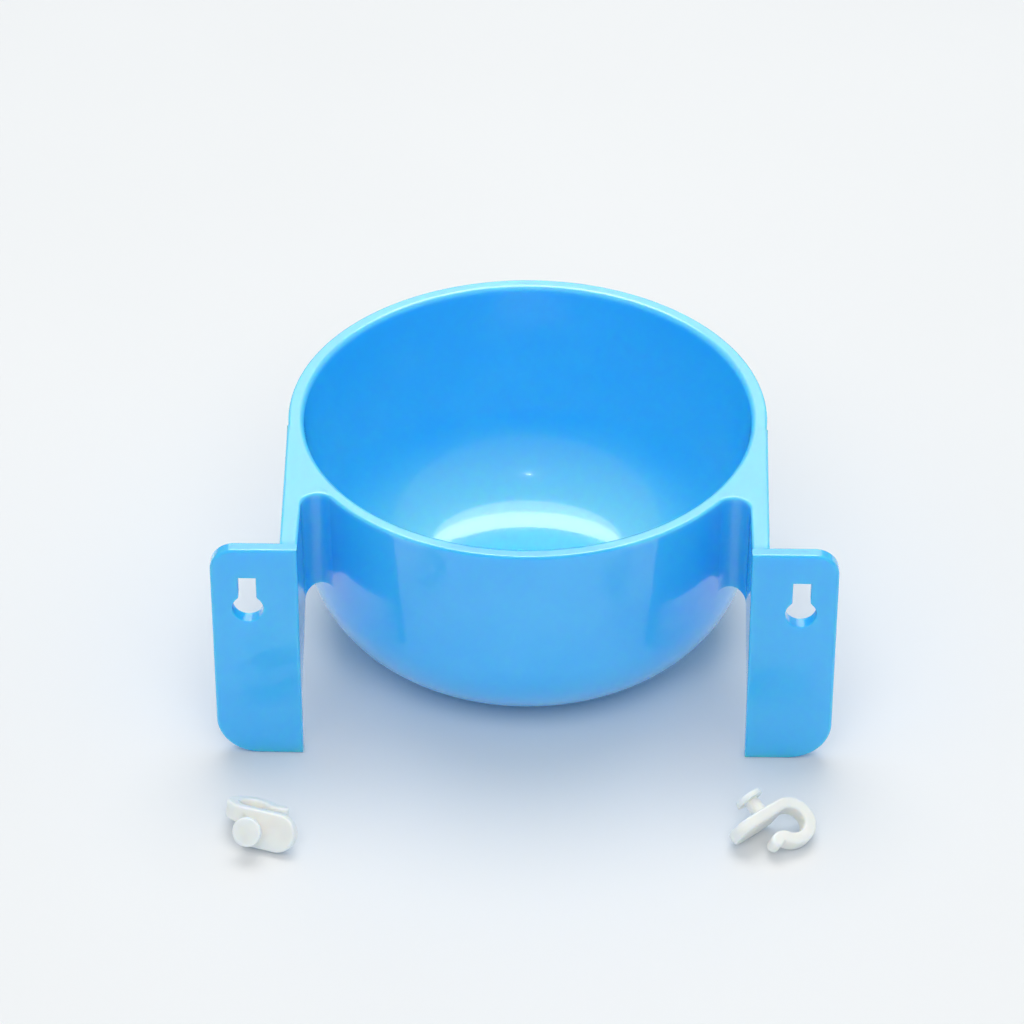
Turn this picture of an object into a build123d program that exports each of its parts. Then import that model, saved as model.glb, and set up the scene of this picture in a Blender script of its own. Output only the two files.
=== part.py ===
from build123d import *
import math
import os

# Seed cup with two keyhole ears, and the pair of wire hooks that clip into the ears.
# Millimetres. +Z is up and the foot stands on Z = 0. The bowl turns about the Z axis, and the ears face -Y.

# Bowl
rim_diameter = 80.0
cup_height = 42.0
wall = 2.6
floor_thickness = 2.6
wall_draft = 5.0
outer_bend = 18.3
inner_bend = 21.0
rim_outer_round = 0.5
rim_inner_round = 1.0

# Ears, and the gusset webs that carry them
ear_width = 14.1
ear_thickness = 2.4
ear_setback = 1.1
ear_top_corner = 4.0
ear_bottom_corner = 7.0
ear_edge_round = 0.5
web_inset = 3.5
web_lean = 1.0
web_foot = 10.8
web_knee = (12.4, 18.2)
web_run_out = 3.0
web_edge_round = 0.5
pocket_round = 2.7

# Hooks
hook_length = 13.3
hook_width = 6.3
hook_thickness = 2.0
loop_width = 2.8
wire_gap = 4.4
wire_mouth = 2.5
hump_round = 1.4
tip_turn = 40.0
shoulder_round = 1.8
stud_place = 7.0
neck_diameter = 2.5
head_diameter = 4.8
head_thickness = 1.0
hook_edge_round = 0.4

# Fits: how freely the stud goes through the keyhole, sits in its slot and holds the ear
slot_clearance = 0.4
entry_clearance = 0.2
grip_clearance = 0.15

# Keyholes, sized from the stud that they take
keyhole_inset = 8.2
keyhole_margin = 5.7
keyhole_drop = 6.1
keyhole_round = 0.8

# Where the hooks lie, measured from the ear that each belongs to
right_hook_place = (-11.1, -23.3)
right_hook_turn = 43.5
left_hook_place = (8.2, -25.5)
left_hook_turn = 161.4

rim_radius = rim_diameter / 2
web_offset = rim_radius - web_inset
keyhole_axis = web_offset + keyhole_inset
draft_slope = math.tan(math.radians(wall_draft))
wall_across = wall / math.cos(math.radians(wall_draft))
slot_width = neck_diameter + slot_clearance
entry_diameter = head_diameter + entry_clearance
ear_front = -(rim_radius - ear_setback)
ear_back = ear_front + ear_thickness
stud_length = ear_thickness + grip_clearance


def corner(sketch, x, y):
    return sketch.vertices().sort_by_distance((x, y, 0))[0]


# Bowl: the outside as one solid of revolution, and the hollow as another that also opens the rim.
foot_corner = rim_radius - cup_height * draft_slope
outside = make_face(Polyline((0, 0), (foot_corner, 0), (rim_radius, cup_height), (0, cup_height), close=True))
outside = fillet(corner(outside, foot_corner, 0), outer_bend)
outside = fillet(corner(outside, rim_radius, cup_height), rim_outer_round)
bowl = revolve(Plane.XZ * outside, Axis.Z)

mouth = rim_radius - wall_across
hollow_corner = mouth - (cup_height - floor_thickness) * draft_slope
above = cup_height + 5.0
inside = make_face(
    Polyline(
        (0, floor_thickness),
        (hollow_corner, floor_thickness),
        (mouth, cup_height),
        (rim_radius + 5.0, cup_height),
        (rim_radius + 5.0, above),
        (0, above),
        close=True,
    )
)
inside = fillet(corner(inside, hollow_corner, floor_thickness), inner_bend)
inside = fillet(corner(inside, mouth, cup_height), rim_inner_round)
hollow = revolve(Plane.XZ * inside, Axis.Z)


# Web: its plan at any height, with the rounded pocket that runs tangent into the drafted bowl.
def web_plan(z):
    radius = rim_radius - (cup_height - z) * draft_slope
    centre_x = web_offset - pocket_round
    centre_y = -math.sqrt((radius + pocket_round) ** 2 - centre_x**2)
    share = radius / (radius + pocket_round)
    on_bowl = (centre_x * share, centre_y * share)
    on_web = (web_offset, centre_y)
    middle = math.atan2(-centre_y, -centre_x) / 2
    on_round = (centre_x + pocket_round * math.cos(middle), centre_y + pocket_round * math.sin(middle))
    lean = math.radians(web_lean)
    side = (rim_radius * math.cos(lean), -rim_radius * math.sin(lean))
    front = ear_front + ear_thickness / 2
    side_front = (side[0] - (side[1] - front) * math.tan(lean), front)
    edges = Polyline(
        on_bowl, (on_bowl[0] - 4, on_bowl[1] + 5), (on_bowl[0] - 4, side[1]), side, side_front, (web_offset, front), on_web
    )
    return Plane.XY.offset(z) * make_face(edges + ThreePointArc(on_web, on_round, on_bowl))


web_low = web_foot - 4.0
web = loft([web_plan(web_low), web_plan(cup_height)], ruled=True)
knee = (ear_back + web_knee[0], web_knee[1])
gusset = Polyline((-web_run_out, cup_height), (ear_front, cup_height), (ear_front, web_foot), (ear_back, web_foot))
gusset += ThreePointArc((ear_back, web_foot), knee, (-web_run_out, cup_height))
web = web & extrude(Plane.YZ.offset(web_offset - 14.0) * make_face(gusset), 24.0)
free_edges = [e for e in web.faces().sort_by(Axis.Z)[-1].edges() if e.center().X > web_offset - pocket_round]
free_edges = [e for e in free_edges if e.length > 1.5 * (rim_radius - web_offset)]
web = fillet(free_edges, web_edge_round)

# Ear: an upright plate with its own corner rounds, softened on every edge that stays free.
ear_plane = Plane((0, ear_back, 0), x_dir=(1, 0, 0), z_dir=(0, -1, 0))
ear_outer = web_offset + ear_width
ear_face = make_face(
    Polyline((web_offset, 0), (ear_outer, 0), (ear_outer, cup_height), (web_offset, cup_height), close=True)
)
ear_face = fillet(corner(ear_face, ear_outer, cup_height), ear_top_corner)
ear_face = fillet(corner(ear_face, ear_outer, 0), ear_bottom_corner)
ear = extrude(ear_plane * ear_face, ear_thickness)
ear_front_edges = ear.faces().sort_by(Axis.Y)[0].edges()
ear_back_edges = ear.faces().sort_by(Axis.Y)[-1].edges().sort_by(Axis.X)[1:]
ear = fillet(ear_front_edges + ear_back_edges, ear_edge_round)

# Keyhole: the round lets the stud's head in, and the slot above it holds the neck.
slot_top = cup_height - keyhole_margin
entry_height = slot_top - keyhole_drop
entry = Pos(keyhole_axis, entry_height) * Circle(entry_diameter / 2)
slot = Pos(keyhole_axis, (slot_top + entry_height) / 2) * Rectangle(slot_width, slot_top - entry_height)
keyhole = entry + slot
meet = entry_height + math.sqrt((entry_diameter / 2) ** 2 - (slot_width / 2) ** 2)
keyhole = fillet(corner(keyhole, keyhole_axis - slot_width / 2, meet), keyhole_round)
keyhole = fillet(corner(keyhole, keyhole_axis + slot_width / 2, meet), keyhole_round)
key_plane = Plane((0, ear_back + 1.0, 0), x_dir=(1, 0, 0), z_dir=(0, -1, 0))
key_cut = extrude(key_plane * keyhole, ear_thickness + 2.0)

side = web + ear - key_cut
cup = bowl + side + mirror(side, about=Plane.YZ) - hollow

# Hook: a plate with a round free end, one of whose edges runs on as a narrower wire loop.
# Drawn with X along the plate, Y towards the stud and Z across the plate.
half = hook_thickness / 2
loop_radius = wire_gap / 2 + half
loop_start = hook_length - loop_radius - half
loop_y = half - loop_radius
swing = math.acos(1 - (wire_gap - wire_mouth) / (loop_radius + hump_round))
swing_end = (loop_start - loop_radius * math.sin(swing), loop_y - loop_radius * math.cos(swing))
hump_x = loop_start - (loop_radius + hump_round) * math.sin(swing)
hump_y = loop_y - (loop_radius + hump_round) * math.cos(swing)
turn = math.radians(tip_turn)
lead = (hump_x + hump_round * math.sin(swing / 2), hump_y + hump_round * math.cos(swing / 2))
trail = (hump_x - hump_round * math.sin(turn), hump_y + hump_round * math.cos(turn))
crest = (hump_x, hump_y + hump_round)
line = Line((-half, half), (loop_start, half))
line += ThreePointArc((loop_start, half), (loop_start + loop_radius, loop_y), (loop_start, loop_y - loop_radius))
middle = swing / 2
line += ThreePointArc(
    (loop_start, loop_y - loop_radius),
    (loop_start - loop_radius * math.sin(middle), loop_y - loop_radius * math.cos(middle)),
    swing_end,
)
line += ThreePointArc(swing_end, lead, crest)
line += ThreePointArc(crest, (hump_x - hump_round * math.sin(turn / 2), hump_y + hump_round * math.cos(turn / 2)), trail)
tip = Pos(trail[0], trail[1]) * Circle(half)
band = extrude(trace(line, hook_thickness) + tip, hook_width)

end_radius = hook_width / 2
plate_plane = Plane((0, hook_thickness, 0), x_dir=(1, 0, 0), z_dir=(0, -1, 0))
free_end = Pos(end_radius - hook_width, end_radius) * Rectangle(2 * hook_width, 2 * hook_width)
free_end -= Pos(end_radius, end_radius) * Circle(end_radius)
end_trim = extrude(plate_plane * free_end, hook_thickness)
shoulder = Pos(loop_start - shoulder_round / 2, shoulder_round / 2) * Rectangle(shoulder_round, shoulder_round)
shoulder -= Pos(loop_start - shoulder_round, shoulder_round) * Circle(shoulder_round)
shoulder_trim = extrude(plate_plane * shoulder, hook_thickness)
under_loop = hook_width - loop_width
beside_plate = Pos(hook_length / 2, -2 * loop_radius, under_loop / 2) * Box(2 * hook_length, 4 * loop_radius, under_loop)
past_plate = Pos(loop_start + hook_length / 2, 0, under_loop / 2) * Box(hook_length, 4 * loop_radius, under_loop)
band = band - end_trim - shoulder_trim - beside_plate - past_plate
top_edges = band.faces().sort_by(Axis.Z)[-1].edges().sort_by(Axis.X)[1:]
band = fillet(top_edges, hook_edge_round)

stud_plane = Plane((stud_place, hook_thickness, hook_width / 2), x_dir=(1, 0, 0), z_dir=(0, 1, 0))
neck = extrude(stud_plane * Circle(neck_diameter / 2), stud_length + head_thickness / 2)
head = extrude(stud_plane.offset(stud_length) * Circle(head_diameter / 2), head_thickness)
head = fillet(head.edges().filter_by(GeomType.CIRCLE), 0.3)
hook = band + neck + head

# Laid down, the hook leans until the plate's edge and the loop's edge both touch the floor.
loop_reach = wire_gap + hook_thickness
hook_lean = math.degrees(math.atan2(hook_width - loop_width, loop_reach))
laid = Rot(hook_lean, 0, 0) * hook
hook_right = Pos(keyhole_axis + right_hook_place[0], ear_front + right_hook_place[1], 0) * Rot(0, 0, right_hook_turn) * laid
hook_left = Pos(-keyhole_axis + left_hook_place[0], ear_front + left_hook_place[1], 0) * Rot(0, 0, left_hook_turn) * laid

os.makedirs("parts", exist_ok=True)
for name, shape in (("cup", cup), ("hook_left", hook_left), ("hook_right", hook_right)):
    export_step(shape, f"parts/{name}.step")
    print(name, "solids", len(shape.solids()), "volume", round(shape.volume, 1), "valid", shape.is_valid)
print("hook lean", round(hook_lean, 2), "lowest", round(laid.bounding_box().min.Z, 3))
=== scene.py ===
import math

import bmesh
import bpy
from mathutils import Matrix, Vector
from mathutils.geometry import delaunay_2d_cdt


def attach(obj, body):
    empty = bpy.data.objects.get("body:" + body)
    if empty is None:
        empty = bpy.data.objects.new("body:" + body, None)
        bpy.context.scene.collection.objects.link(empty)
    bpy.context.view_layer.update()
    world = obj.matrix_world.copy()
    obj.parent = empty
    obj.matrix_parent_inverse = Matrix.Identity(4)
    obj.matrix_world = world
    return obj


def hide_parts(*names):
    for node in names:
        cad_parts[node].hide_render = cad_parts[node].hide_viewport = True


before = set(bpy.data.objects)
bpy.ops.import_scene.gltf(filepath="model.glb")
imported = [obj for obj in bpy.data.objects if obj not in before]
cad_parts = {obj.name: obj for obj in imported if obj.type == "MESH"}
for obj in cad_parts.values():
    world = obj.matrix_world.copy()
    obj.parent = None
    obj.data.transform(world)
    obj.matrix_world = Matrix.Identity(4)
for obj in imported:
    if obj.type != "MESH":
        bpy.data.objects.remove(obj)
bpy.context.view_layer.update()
scene = bpy.context.scene


# Blue plastic of the cup
# A glossy moulding that lets some light through. Painted light: its colour is made paler in the well at
# the bottom of the bowl and, as a painted highlight, along the rim's top. The skin has the faint flow
# clouds and ripple of a polished mould.
class Wire:
    """A socket of a node tree that can stand in a sum."""

    def __init__(self, tree, socket=None):
        self.tree = tree
        self.socket = socket

    def node(self, kind, settings, sockets, out=0):
        made = self.tree.nodes.new(kind)
        for key, value in settings.items():
            setattr(made, key, value)
        for key, value in sockets.items():
            if isinstance(value, Wire):
                self.tree.links.new(value.socket, made.inputs[key])
            else:
                made.inputs[key].default_value = value
        return Wire(self.tree, made.outputs[out] if made.outputs else None)

    def maths(self, operation, a, b):
        return self.node("ShaderNodeMath", {"operation": operation}, {0: a, 1: b})

    def __add__(self, other):
        return self.maths("ADD", self, other)

    def __radd__(self, other):
        return self.maths("ADD", other, self)

    def __sub__(self, other):
        return self.maths("SUBTRACT", self, other)

    def __rsub__(self, other):
        return self.maths("SUBTRACT", other, self)

    def __mul__(self, other):
        return self.maths("MULTIPLY", self, other)

    def __rmul__(self, other):
        return self.maths("MULTIPLY", other, self)

    def step(self, low, high):
        settings = {"interpolation_type": "SMOOTHSTEP"}
        sockets = {"Value": self, "From Min": low, "From Max": high}
        return self.node("ShaderNodeMapRange", settings, sockets)

    def noise(self, place, scale, detail):
        sockets = {"Vector": place, "Scale": scale, "Detail": detail, "Roughness": 0.55}
        return self.node("ShaderNodeTexNoise", {}, sockets)

    def blend(self, share, one, other):
        settings = {"data_type": "RGBA", "clamp_factor": True}
        return self.node("ShaderNodeMix", settings, {0: share, 6: one, 7: other}, 2)

    def bump(self, strength, distance, height):
        sockets = {"Strength": strength, "Distance": distance, "Height": height}
        return self.node("ShaderNodeBump", {}, sockets)

    def ray(self, kind):
        return self.node("ShaderNodeLightPath", {}, {}, kind)

    def coordinates(self, kind):
        return self.node("ShaderNodeTexCoord", {}, {}, kind)

    def part(self, axis):
        return self.node("ShaderNodeSeparateXYZ", {}, {"Vector": self}, axis)


def new_material(name):
    material = bpy.data.materials.new(name)
    material.use_nodes = True
    material.node_tree.nodes.clear()
    return material, Wire(material.node_tree)


plastic_index = 1.5
cloud_edges = (0.35, 0.7)
deep_blue = (0.040, 0.525, 0.975, 1)
cloud_blue = (0.050, 0.550, 0.985, 1)
painted_light_well_blue = (0.27, 0.88, 0.985, 1)
painted_highlight_brim_blue = (0.20, 0.72, 0.97, 1)
painted_light_well_share = 0.7
painted_highlight_brim_share = 0.5
hollow_centre = (0, 0, 0.04)
hollow_reach = (0.0432, 0.0450)
above_foot = (0.0012, 0.0024)
up_the_well = (0.0010, 0.0190)
up_to_brim = (0.0405, 0.0419)
behind_ears = (-0.0375, -0.0355)

cup_blue, ink = new_material("cup_blue")
place = ink.coordinates("Object")
height = place.part("Z")
depth = place.part("Y")
flow = ink.noise(place, 55.0, 3.0)
ripple = ink.noise(place, 420.0, 2.0)
grit = ink.noise(place, 2600.0, 1.0)
clouds = ink.blend(flow.step(*cloud_edges), deep_blue, cloud_blue)
to_centre = {0: place, 1: hollow_centre}
middle = ink.node("ShaderNodeVectorMath", {"operation": "DISTANCE"}, to_centre, "Value")
hollow = (1 - middle.step(*hollow_reach)) * height.step(*above_foot)
# painted light: the well at the bottom of the bowl is made paler, as if lit from above and through its
# thin floor
painted_light_well = hollow * (1 - height.step(*up_the_well))
# painted highlight: the rim's top, short of the ears, is made paler, as if catching the lamps above
painted_highlight_brim = height.step(*up_to_brim) * depth.step(*behind_ears)
# the clouds' own tone, with the painted light of the well and the painted highlight of the rim blended
# over it
clouds_and_painted_light = ink.blend(painted_light_well * painted_light_well_share, clouds, painted_light_well_blue)
clouds_and_painted_light = ink.blend(painted_highlight_brim * painted_highlight_brim_share, clouds_and_painted_light, painted_highlight_brim_blue)
plastic = ink.node(
    "ShaderNodeBsdfPrincipled",
    {"subsurface_method": "RANDOM_WALK"},
    {
        "Base Color": clouds_and_painted_light,
        "Roughness": 0.16 + flow * 0.06 + grit * 0.05,
        "IOR": plastic_index,
        "Subsurface Weight": 1.0,
        "Subsurface Radius": (0.06, 0.35, 1.0),
        "Subsurface Scale": 0.004,
        "Coat Weight": 0.75 + flow * 0.2,
        "Coat Roughness": 0.05,
        "Coat IOR": plastic_index,
        "Normal": ink.bump(0.03, 0.0004, ripple + grit * 0.15),
    },
)
ink.node("ShaderNodeOutputMaterial", {}, {"Surface": plastic})

# Bowl
# The round body of the cup: a drafted wall on a wide bottom bend and a flat foot.
# It is turned: a profile whose corners carry their own rounds goes once round the axis.
millimetre = 0.001
rim_radius = 40.0
cup_height = 42.0
wall = 2.6
floor_thickness = 2.6
wall_draft = math.radians(5.0)
outer_bend = 18.3
inner_bend = 21.0
rim_outer_round = 0.5
rim_inner_round = 1.0
bowl_facets = 192
bowl_round_steps = 18
lathe_radius = 10.0
seam_gap = 0.002
merge_gap = 0.0005
sliver = 0.0002

draft = math.tan(wall_draft)
foot_corner = rim_radius - cup_height * draft
mouth = rim_radius - wall / math.cos(wall_draft)
hollow_corner = mouth - (cup_height - floor_thickness) * draft
bowl_corners = [
    (0, 0, 0),
    (foot_corner, 0, outer_bend),
    (rim_radius, cup_height, rim_outer_round),
    (mouth, cup_height, rim_inner_round),
    (hollow_corner, floor_thickness, inner_bend),
    (0, floor_thickness, 0),
]

turning = bpy.data.node_groups.new("turning", "GeometryNodeTree")
for socket_name, way, socket_type in (
    ("Profile", "INPUT", "NodeSocketGeometry"),
    ("Facets", "INPUT", "NodeSocketInt"),
    ("Round Steps", "INPUT", "NodeSocketInt"),
    ("Lathe Radius", "INPUT", "NodeSocketFloat"),
    ("Plastic", "INPUT", "NodeSocketMaterial"),
    ("Turned", "OUTPUT", "NodeSocketGeometry"),
):
    turning.interface.new_socket(socket_name, in_out=way, socket_type=socket_type)
lathe = Wire(turning)
inputs = turning.nodes.new("NodeGroupInput").outputs
given = {socket.name: Wire(turning, socket) for socket in inputs if socket.name}
profile = lathe.node("GeometryNodeMeshToCurve", {}, {"Mesh": given["Profile"]})
rounds = lathe.node("GeometryNodeInputNamedAttribute", {"data_type": "FLOAT"}, {"Name": "round"})
profile = lathe.node(
    "GeometryNodeFilletCurve",
    {"mode": "POLY"},
    {"Curve": profile, "Count": given["Round Steps"], "Radius": rounds},
)
circle = lathe.node(
    "GeometryNodeCurvePrimitiveCircle",
    {"mode": "RADIUS"},
    {"Resolution": given["Facets"], "Radius": given["Lathe Radius"]},
)
swept = lathe.node("GeometryNodeCurveToMesh", {}, {"Curve": circle, "Profile Curve": profile})
closed = lathe.node("GeometryNodeMergeByDistance", {}, {"Geometry": swept, "Distance": seam_gap})
smooth = lathe.node("GeometryNodeSetShadeSmooth", {}, {"Geometry": closed})
real = lathe.node("GeometryNodeRealizeInstances", {}, {"Geometry": smooth})
coloured = {"Geometry": real, "Material": given["Plastic"]}
named = lathe.node("GeometryNodeSetMaterial", {}, coloured)
lathe.node("NodeGroupOutput", {}, {"Turned": named})


def closed_up(mesh):
    """Doubled points merged and faces turned outwards, on a mesh drawn in millimetres."""
    body = bmesh.new()
    body.from_mesh(mesh)
    bmesh.ops.remove_doubles(body, verts=body.verts, dist=merge_gap)
    bmesh.ops.dissolve_degenerate(body, edges=body.edges, dist=sliver)
    bmesh.ops.recalc_face_normals(body, faces=body.faces)
    body.to_mesh(mesh)
    body.free()


def as_object(name, points, faces, material):
    mesh = bpy.data.meshes.new(name)
    mesh.from_pydata([tuple(p) for p in points], [], [tuple(f) for f in faces])
    mesh.materials.append(material)
    closed_up(mesh)
    made = bpy.data.objects.new(name, mesh)
    scene.collection.objects.link(made)
    return made


def worked(made):
    """The object with its modifiers worked into a plain mesh."""
    bpy.context.view_layer.update()
    graph = bpy.context.evaluated_depsgraph_get()
    mesh = bpy.data.meshes.new_from_object(made.evaluated_get(graph))
    made.modifiers.clear()
    made.data = mesh
    return made


def turned(name, corners, facets, steps, material):
    """A body turned from corners given as radius, height and round."""
    mesh = bpy.data.meshes.new(name)
    points = [(r - lathe_radius, -z, 0) for r, z, _ in corners]
    mesh.from_pydata(points, [(i, i + 1) for i in range(len(points) - 1)], [])
    rounding = mesh.attributes.new("round", "FLOAT", "POINT")
    rounding.data.foreach_set("value", [float(c[2]) for c in corners])
    made = bpy.data.objects.new(name, mesh)
    scene.collection.objects.link(made)
    turn = made.modifiers.new("turning", "NODES")
    turn.node_group = turning
    values = {
        "Facets": facets,
        "Round Steps": steps,
        "Lathe Radius": lathe_radius,
        "Plastic": material,
    }
    for item in turning.interface.items_tree:
        if item.in_out == "INPUT" and item.name in values:
            turn[item.identifier] = values[item.name]
    closed_up(worked(made).data)
    return made


bowl = turned("bowl", bowl_corners, bowl_facets, bowl_round_steps, cup_blue)

# Ears and their webs
# Two upright plates with a keyhole each, on gussets that run forward from the rim. All one moulding
# with the bowl, so they are joined to it without a seam. The web meets the wall in a round pocket.
web_offset = 36.5
ear_front = -38.9
ear_back = -36.5
ear_outer = 50.6
ear_bottom_corner = 7.0
ear_top_corner = 4.0
ear_edge_round = 0.5
ear_edge_steps = 5
ear_corner_steps = 12
gusset_foot = (ear_back, 10.8)
gusset_knee = (ear_back + 12.4, 18.2)
gusset_end = (-3.0, cup_height)
pocket_round = 2.7
pocket_overlap = 0.03
web_lean = math.radians(1.0)
web_start = ear_front + 1.2
web_end = -4.0
web_root = 1.0
web_least = 1.0
web_top = cup_height - 0.01
web_low_round = 0.4
web_top_round = 0.5
web_round_room = 1.1
web_round_steps = 4
web_rows = 8
plan_rounds = 8
inner_steps = 8
pocket_steps = 24
root_steps = 12
outer_steps = 24
cup_crease = math.radians(38)


def quarter(steps):
    """The angles of a quarter turn in even steps."""
    return [math.radians(90 * k / steps) for k in range(steps + 1)]


def circle_through(a, b, c):
    d = 2 * (a[0] * (b[1] - c[1]) + b[0] * (c[1] - a[1]) + c[0] * (a[1] - b[1]))
    one, two, three = [p[0] ** 2 + p[1] ** 2 for p in (a, b, c)]
    x = (one * (b[1] - c[1]) + two * (c[1] - a[1]) + three * (a[1] - b[1])) / d
    y = (one * (c[0] - b[0]) + two * (a[0] - c[0]) + three * (b[0] - a[0])) / d
    return x, y, math.hypot(a[0] - x, a[1] - y)


sweep_y, sweep_z, sweep_radius = circle_through(gusset_foot, gusset_knee, gusset_end)


def gusset_edge(y):
    """Height of the web's swept lower edge at a distance y along it."""
    if y <= ear_back:
        return gusset_foot[1]
    rise = sweep_z - math.sqrt(max(sweep_radius**2 - (y - sweep_y) ** 2, 0.0))
    return min(rise, cup_height - web_least)


def web_outline(z, inset):
    """The web's plan at one height, drawn in by inset where it is free."""
    radius = rim_radius - (cup_height - z) * draft
    cx = web_offset - pocket_round
    cy = -math.sqrt((radius + pocket_round - pocket_overlap) ** 2 - cx**2)
    points = []
    for k in range(inner_steps):
        points.append((web_offset + inset, web_start + (cy - web_start) * k / inner_steps))
    reach = pocket_round + inset
    last = math.atan2(-cy, -cx)
    for k in range(pocket_steps + 1):
        turn = last * k / pocket_steps
        points.append((cx + reach * math.cos(turn), cy + reach * math.sin(turn)))
    begin = math.atan2(points[-1][1], points[-1][0])
    hidden = radius - web_root
    end = math.asin(web_end / hidden)
    for k in range(1, root_steps + 1):
        turn = begin + (end - begin) * k / root_steps
        points.append((hidden * math.cos(turn), hidden * math.sin(turn)))
    side_x = (rim_radius - inset) * math.cos(web_lean)
    side_y = -(rim_radius - inset) * math.sin(web_lean)
    for k in range(outer_steps + 1):
        y = web_end + (web_start - web_end) * k / outer_steps
        points.append((side_x - (side_y - y) * math.tan(web_lean), y))
    return points


def web_ring(share, lift, inset):
    """One ring round the web: share goes from its swept lower edge, 0, to its top, 1."""
    count = len(web_outline(cup_height, 0))
    heights = [cup_height] * count
    for _ in range(plan_rounds):
        rows = [web_outline(z, inset) for z in heights]
        ring = [rows[k][k] for k in range(count)]
        lows = [gusset_edge(p[1]) for p in ring]
        room = [min(1.0, (web_top - low) / web_round_room) for low in lows]
        heights = [
            low + (web_top - low) * share + lift * small for low, small in zip(lows, room)
        ]
    return [Vector((p[0], p[1], z)) for p, z in zip(ring, heights)]


def stacked(rings):
    """Points of a stack of closed rings, and the faces between them."""
    count = len(rings[0])
    points = [p for ring in rings for p in ring]
    faces = []
    for row in range(len(rings) - 1):
        for k in range(count):
            here = row * count + k
            beside = row * count + (k + 1) % count
            faces.append((here, beside, beside + count, here + count))
    return points, faces


def capped(rings, low_cap, high_cap):
    """A stack of rings, closed below and above by flat triangles in plan."""
    points, faces = stacked(rings)
    count = len(rings[0])
    border = [(k, (k + 1) % count) for k in range(count)]
    last_base = (len(rings) - 1) * count
    for base, plan, order in ((0, low_cap, -1), (last_base, high_cap, 1)):
        flat = [Vector(p) for p in plan]
        found = delaunay_2d_cdt(flat, border, [], 1, 1e-9)
        for face in found[2]:
            faces.append([base + found[3][v][0] for v in face][::order])
    return points, faces


rings = []
for turn in quarter(web_round_steps):
    lift = web_low_round * (1 - math.cos(turn))
    rings.append(web_ring(0, lift, web_low_round * (1 - math.sin(turn))))
for k in range(1, web_rows):
    rings.append(web_ring(k / web_rows, 0, 0))
for turn in quarter(web_round_steps):
    lift = -web_top_round * (1 - math.sin(turn))
    rings.append(web_ring(1, lift, web_top_round * (1 - math.cos(turn))))
low_plan = [p.xy for p in rings[0]]
high_plan = [p.xy for p in rings[-1]]
web = as_object("web", *capped(rings, low_plan, high_plan), cup_blue)


def ear_outline(inset):
    """The ear's face drawn in by inset, as points across and up."""
    low, high = inset, cup_height - inset
    inner, outer = web_offset + inset, ear_outer - inset
    points = [(inner, low)]
    for bend, start in ((ear_bottom_corner - inset, -90), (ear_top_corner - inset, 0)):
        centre_z = low + bend if start else high - bend
        for k in range(ear_corner_steps + 1):
            turn = math.radians(start + 90 * k / ear_corner_steps)
            points.append((outer - bend + bend * math.cos(turn), centre_z + bend * math.sin(turn)))
    return points + [(inner, high)]


def edged(near, far, bend, outline):
    """Rings from one face of a plate to the other, with rounded edges."""
    way = 1 if far > near else -1
    stack = []
    for turn in quarter(ear_edge_steps):
        stack.append((near + way * bend * (1 - math.cos(turn)), bend * (1 - math.sin(turn))))
    stack += [(near + far - place, inset) for place, inset in reversed(stack)]
    return [(place, outline(inset)) for place, inset in stack]


ear_rings = edged(ear_back, ear_front, ear_edge_round, ear_outline)
ear_points = [[Vector((x, y, z)) for x, z in outline] for y, outline in ear_rings]
ear = as_object("ear", *capped(ear_points, ear_rings[0][1], ear_rings[-1][1]), cup_blue)

keyhole_x = web_offset + 8.2
slot_top = cup_height - 5.7
entry_z = slot_top - 6.1
slot_half_width = 1.45
entry_radius = 2.5
flare_round = 0.8
flare_steps = 8
entry_steps = 24
keyhole_break = 0.25
break_middle = (0.08, 0.11)
overshoot = 1.0


def keyhole_outline(grow):
    """The keyhole drawn out by grow: a round for the stud's head and a slot above for the neck."""
    half_slot = slot_half_width + grow
    entry = entry_radius + grow
    bend = flare_round - grow
    bend_x = half_slot + bend
    bend_z = math.sqrt((entry + bend) ** 2 - bend_x**2)
    meet = math.atan2(bend_z, bend_x)
    right = [(half_slot, slot_top - entry_z + grow)]
    for k in range(flare_steps + 1):
        turn = math.pi + meet * k / flare_steps
        right.append((bend_x + bend * math.cos(turn), bend_z + bend * math.sin(turn)))
    for k in range(1, entry_steps + 1):
        turn = meet - (meet + math.pi / 2) * k / entry_steps
        right.append((entry * math.cos(turn), entry * math.sin(turn)))
    left = [(-x, z) for x, z in reversed(right[:-1])]
    return [(keyhole_x + x, entry_z + z) for x, z in right + left]


cuts = [
    (ear_back + overshoot, keyhole_break),
    (ear_back, keyhole_break),
    (ear_back - break_middle[0], break_middle[1]),
    (ear_back - keyhole_break, 0.0),
]
cuts += [(ear_front + ear_back - y, grow) for y, grow in reversed(cuts)]
cut_points = [[Vector((x, y, z)) for x, z in keyhole_outline(grow)] for y, grow in cuts]
cut_face = keyhole_outline(keyhole_break)
keyhole = as_object("keyhole", *capped(cut_points, cut_face, cut_face), cup_blue)


def joined(base, other, way):
    """base with another closed piece joined to it or cut out of it."""
    work = base.modifiers.new("join", "BOOLEAN")
    work.operation = way
    work.solver = "MANIFOLD"
    work.object = other
    worked(base)
    bpy.data.objects.remove(other)
    return base


def smoothed(piece, crease):
    """Smooth shading that keeps the edges sharper than crease."""
    faces = piece.data.polygons
    faces.foreach_set("use_smooth", [True] * len(faces))
    piece.data.set_sharp_from_angle(angle=crease)
    piece.modifiers.new("even_normals", "WEIGHTED_NORMAL").keep_sharp = True


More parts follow.
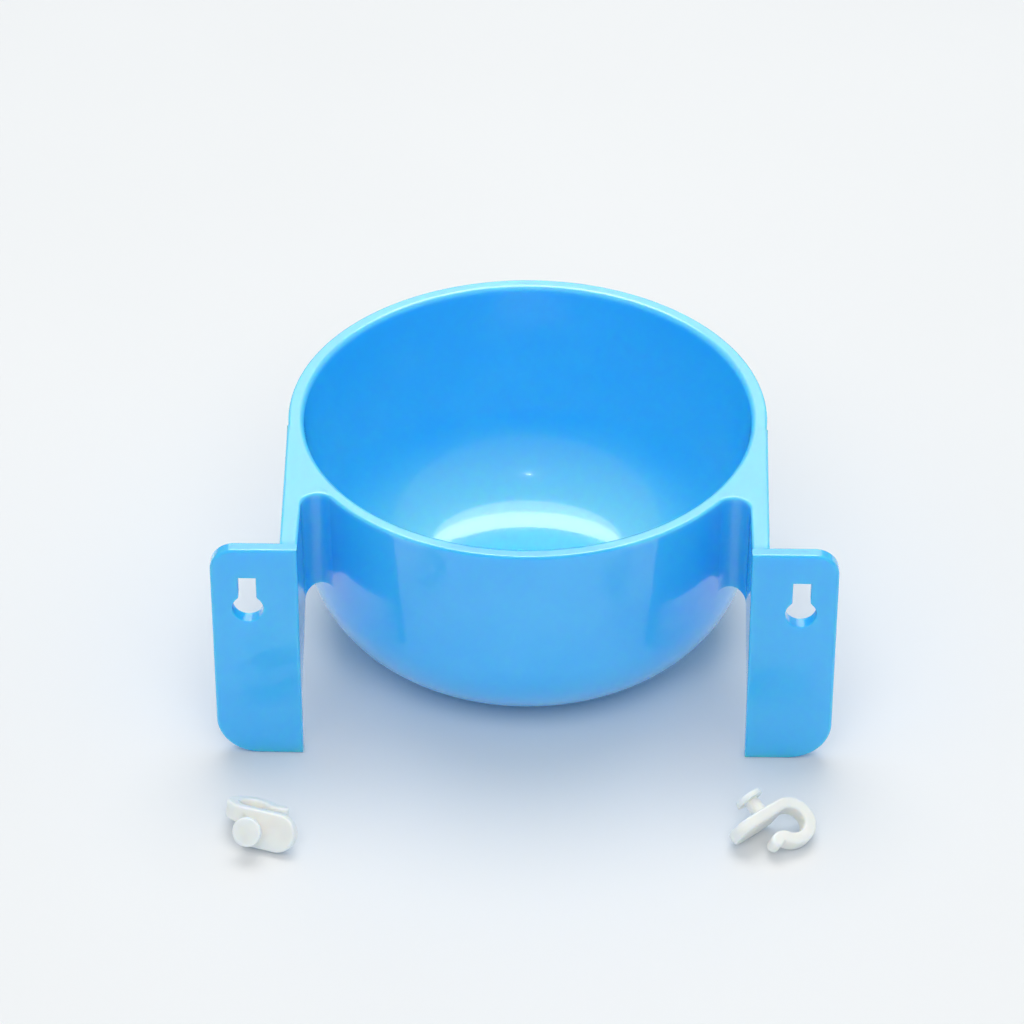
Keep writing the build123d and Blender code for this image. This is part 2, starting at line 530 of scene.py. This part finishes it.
ear = joined(ear, keyhole, "DIFFERENCE")
wing = joined(ear, web, "UNION")
other_wing = wing.copy()
other_wing.data = wing.data.copy()
other_wing.data.transform(Matrix.Scale(-1, 4, (1, 0, 0)))
other_wing.data.flip_normals()
scene.collection.objects.link(other_wing)
cup = joined(joined(bowl, wing, "UNION"), other_wing, "UNION")
cup.name = "cup_moulding"
cup.data.transform(Matrix.Scale(millimetre, 4))
smoothed(cup, cup_crease)
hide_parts("cup")
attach(cup, "cup")

# White plastic of the hooks
# Small off-white mouldings in a soft plastic that lets a little light through.
# The skin is satin, with faint flow clouds.
warm_white = (0.86, 0.845, 0.80, 1)
cloud_white = (0.89, 0.875, 0.83, 1)

hook_white, milk = new_material("hook_white")
place = milk.coordinates("Object")
flow = milk.noise(place, 260.0, 2.0)
grit = milk.noise(place, 3200.0, 1.0)
plastic = milk.node(
    "ShaderNodeBsdfPrincipled",
    {"subsurface_method": "RANDOM_WALK"},
    {
        "Base Color": milk.blend(flow.step(*cloud_edges), warm_white, cloud_white),
        "Roughness": 0.28 + flow * 0.14,
        "IOR": plastic_index,
        "Subsurface Weight": 0.85,
        "Subsurface Radius": (1.0, 0.85, 0.6),
        "Subsurface Scale": 0.0016,
        "Normal": milk.bump(0.08, 0.0002, flow + grit * 0.2),
    },
)
milk.node("ShaderNodeOutputMaterial", {}, {"Surface": plastic})

# Wire hooks
# Two alike mouldings: a plate with a round free end and a headed stud, whose one edge runs on as a
# narrower open loop with a hump and a turned-out tip. They lie in front of the cup, one each way up.
hook_width = 6.3
half_thick = 1.0
plate_end = 9.1
loop_width = 2.8
loop_radius = 3.2
hump_radius = 1.4
hump_rise = 1.9
tip_turn = math.radians(40)
shoulder = 1.8
edge = 0.4
level_steps = 16
end_steps = 12
plate_steps = 4
shoulder_steps = 8
loop_steps = 64
tip_steps = 5
neck_radius = 1.25
neck_sunk = -0.8
neck_top = 2.55
head_radius = 2.4
head_top = 3.55
head_round = 0.3
stud_place = 7.0
stud_facets = 64
stud_round_steps = 8
hook_crease = math.radians(40)
hooks_lie = (("left", (-36.5, -64.4, 0), 161.4), ("right", (33.6, -62.2, 0), 43.5))

loop_low = hook_width - loop_width
end_radius = hook_width / 2
swing = math.acos(1 - hump_rise / (loop_radius + hump_radius))
loop_length = loop_radius * (math.pi + swing)
hump_length = hump_radius * (swing + tip_turn)
band_end = plate_end + loop_length + hump_length
levels = [half_thick * (1 - math.cos(math.pi * k / level_steps)) for k in range(level_steps + 1)]


def heading(turn):
    """The direction at an angle from straight up, clockwise."""
    return Vector((math.sin(turn), math.cos(turn)))


def along_band(s):
    """Place and direction of the hook's middle line, s along it: the plate, the loop, then the hump."""
    if s <= plate_end:
        return Vector((s, half_thick)), 0.0
    loop_centre = Vector((plate_end, half_thick - loop_radius))
    if s <= plate_end + loop_length:
        turn = (s - plate_end) / loop_radius
        return loop_centre + loop_radius * heading(turn), -turn
    far = math.pi + swing
    hump_centre = loop_centre + (loop_radius + hump_radius) * heading(far)
    back = (s - plate_end - loop_length) / hump_radius
    return hump_centre - hump_radius * heading(far - back), back - far


def edge_inset(y):
    """How far the rounded long edge is drawn in at one level of the band's thickness."""
    over = max(abs(y - half_thick) - (half_thick - edge), 0)
    return edge - math.sqrt(max(edge**2 - over**2, 0))


def band_section(low, high):
    """One section of the band: low and high give (along, across) on each long side for an inset."""
    up = [(y, *high(edge_inset(y))) for y in levels]
    down = [(y, *low(edge_inset(y))) for y in reversed(levels)]
    section = []
    for y, s, z in up + down:
        spot, direction = along_band(s)
        across = Vector((-math.sin(direction), math.cos(direction)))
        spot = spot + (y - half_thick) * across
        section.append(Vector((spot.x, spot.y, z)))
    return section


def free_end(s, inset, side):
    """(along, across) on one side of the plate's round free end."""
    along = max(s, inset)
    half = math.sqrt(max((end_radius - inset) ** 2 - (end_radius - along) ** 2, 0))
    return along, end_radius + side * half


def shoulder_bend(turn, inset):
    """(along, across) on the round where the plate narrows to the loop."""
    bend = shoulder - inset
    return plate_end - shoulder + bend * math.sin(turn), shoulder - bend * math.cos(turn)


def straight(s, inset):
    """(along, across) on the long edge that runs straight through from plate to tip."""
    return s, hook_width - inset


sections = []
for k in range(end_steps + 1):
    s = end_radius * (1 - math.cos(math.pi / 2 * k / end_steps))
    sections.append(band_section(lambda i: free_end(s, i, -1), lambda i: free_end(s, i, 1)))
for k in range(1, plate_steps + 1):
    s = end_radius + (plate_end - shoulder - end_radius) * k / plate_steps
    sections.append(band_section(lambda i: (s, i), lambda i: straight(s, i)))
for k in range(1, shoulder_steps + 1):
    turn = math.pi / 2 * k / shoulder_steps
    s = plate_end - shoulder + shoulder * math.sin(turn)
    sections.append(band_section(lambda i: shoulder_bend(turn, i), lambda i: straight(s, i)))
sections.append(
    band_section(lambda i: (plate_end - i, loop_low + i), lambda i: straight(plate_end, i))
)
for k in range(1, loop_steps + 1):
    s = plate_end + (loop_length + hump_length) * k / loop_steps
    sections.append(band_section(lambda i: (s, loop_low + i), lambda i: straight(s, i)))

last_place, last_direction = along_band(band_end)
last_along = Vector((math.cos(last_direction), math.sin(last_direction)))
last_across = Vector((-last_along.y, last_along.x))
for k in range(tip_steps + 1):
    turn = math.pi / 2 * k / tip_steps
    draw = edge * (1 - math.sin(turn))
    fall = edge * (1 - math.cos(turn))
    section = []
    for order, side in ((levels, 1), (levels[::-1], -1)):
        for y in order:
            off = y - half_thick
            reach = math.sqrt(max((half_thick - draw) ** 2 - off**2, 0))
            spot = last_place + off * last_across + reach * last_along
            inset = max(edge_inset(y), fall)
            z = hook_width - inset if side > 0 else loop_low + inset
            section.append(Vector((spot.x, spot.y, z)))
    sections.append(section)

points, faces = stacked(sections)
count = len(sections[0])
for base in (0, (len(sections) - 1) * count):
    for k in range(len(levels) - 1):
        faces.append((base + k, base + k + 1, base + count - 2 - k, base + count - 1 - k))
band = as_object("hook_band", points, faces, hook_white)

stud_corners = [
    (0, neck_sunk, 0),
    (neck_radius, neck_sunk, 0),
    (neck_radius, neck_top, 0),
    (head_radius, neck_top, head_round),
    (head_radius, head_top, head_round),
    (0, head_top, 0),
]
stud = turned("hook_stud", stud_corners, stud_facets, stud_round_steps, hook_white)
upright = Matrix.Rotation(-math.pi / 2, 4, "X")
stud.data.transform(Matrix.Translation((stud_place, 2 * half_thick, end_radius)) @ upright)
hook = joined(band, stud, "UNION")
lean = Matrix.Rotation(math.atan2(loop_low, 2 * loop_radius), 4, "X")
for side, spot, turn in hooks_lie:
    piece = hook.copy()
    piece.data = hook.data.copy()
    piece.name = "wire_hook_" + side
    scene.collection.objects.link(piece)
    laid = Matrix.Rotation(math.radians(turn), 4, "Z") @ lean
    piece.data.transform(Matrix.Scale(millimetre, 4) @ Matrix.Translation(spot) @ laid)
    smoothed(piece, hook_crease)
    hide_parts("hook_" + side)
    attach(piece, "hook_" + side)
bpy.data.objects.remove(hook)

# Floor, light and camera
# A pale table that fades into haze far off. Soft lamps overhead and in front light the cup, with a
# bluish fill from low down. Two soft lamps behind and a small bulb only shape the highlights.
table_edge = 3
pale = (0.80, 0.805, 0.81, 1)
paler = (0.82, 0.825, 0.83, 1)
haze_colour = (0.91, 0.93, 0.96, 1)
haze_reach = (0.25, 0.90)

table, paint = new_material("pale_table")
place = paint.coordinates("Object")
patch = paint.noise(place, 6.0, 2.0)
colour = paint.blend(patch.step(0.3, 0.7), pale, paler)
surface = {"Base Color": colour, "Roughness": 0.6 + patch * 0.1}
matt = paint.node("ShaderNodeBsdfPrincipled", {}, surface)
eyes = paint.ray("Is Camera Ray") + paint.ray("Is Glossy Ray") + paint.ray("Is Transmission Ray")
away = paint.node("ShaderNodeVectorMath", {"operation": "LENGTH"}, {0: place}, "Value")
haze = paint.node("ShaderNodeEmission", {}, {"Color": haze_colour})
fading = {0: eyes * away.step(*haze_reach), 1: matt, 2: haze}
seen = paint.node("ShaderNodeMixShader", {}, fading)
paint.node("ShaderNodeOutputMaterial", {}, {"Surface": seen})
corners = [(table_edge * x, table_edge * y, 0) for x, y in ((-1, -1), (1, -1), (1, 1), (-1, 1))]
floor = as_object("floor", corners, [(0, 1, 2, 3)], table)


def aimed(made, along):
    made.rotation_euler = Vector(along).to_track_quat("-Z", "Y").to_euler()


def softbox(name, shape, place, aim_height, size, power, tone):
    lamp = bpy.data.lights.new(name, "AREA")
    lamp.shape = shape
    lamp.size, lamp.size_y = size
    lamp.energy = power
    lamp.color = tone
    made = bpy.data.objects.new(name, lamp)
    scene.collection.objects.link(made)
    made.location = place
    aimed(made, Vector((0, 0, aim_height)) - Vector(place))
    return made


overhead_tone = (1.0, 0.985, 0.95)
behind_tone = (1.0, 0.99, 0.97)
glint_tone = (1.0, 0.96, 0.94)
front_tone = (1.0, 0.99, 0.98)
softbox("overhead", "ELLIPSE", (0.0, 0.26, 0.80), 0.03, (0.76, 0.66), 3.3, overhead_tone)
behind = softbox("behind", "RECTANGLE", (0.0, 1.2, 0.95), 0.03, (1.2, 0.45), 2.6, behind_tone)
glint = softbox("glint", "ELLIPSE", (0.0, 0.36, 0.78), 0.03, (0.68, 0.50), 2.9, glint_tone)
for lamp in (behind, glint):
    lamp.visible_diffuse = False
    lamp.visible_transmission = False
front = softbox("front", "RECTANGLE", (0.0, -0.88, 1.14), 0.02, (1.2, 0.8), 6.4, front_tone)
front.visible_glossy = False
bulb = bpy.data.lights.new("bulb", "POINT")
bulb.energy = 0.9
bulb.shadow_soft_size = 0.020
small_lamp = bpy.data.objects.new("bulb", bulb)
scene.collection.objects.link(small_lamp)
small_lamp.location = (0.0, -0.62, 1.08)
small_lamp.visible_diffuse = False

low_sky = (0.20, 0.57, 1.0, 1)
high_sky = (0.66, 0.64, 0.60, 1)
seen_sky = (0.95, 0.97, 1.0, 1)
sky_rise = (0.0, 0.7)
world = bpy.data.worlds.new("white_room")
scene.world = world
world.use_nodes = True
world.node_tree.nodes.clear()
air = Wire(world.node_tree)
camera_ray = air.ray("Is Camera Ray")
mirror_ray = air.ray("Is Glossy Ray") + air.ray("Is Transmission Ray")
lift = air.coordinates("Generated").part("Z")
sky = air.blend(lift.step(*sky_rise), low_sky, high_sky)
sky = air.blend(camera_ray, sky, seen_sky)
strength = 0.80 + camera_ray * 0.16 + mirror_ray * 0.12
room = air.node("ShaderNodeBackground", {}, {"Color": sky, "Strength": strength})
air.node("ShaderNodeOutputWorld", {}, {"Surface": room})

lens = bpy.data.cameras.new("camera")
lens.lens = 160.5
lens.sensor_width = 36.0
lens.clip_end = 50.0
eye = bpy.data.objects.new("camera", lens)
scene.collection.objects.link(eye)
eye.location = (0.0079, -0.6202, 0.4842)
aimed(eye, (-0.0136, 0.8013, -0.5981))
scene.camera = eye
scene.view_settings.view_transform = "Standard"
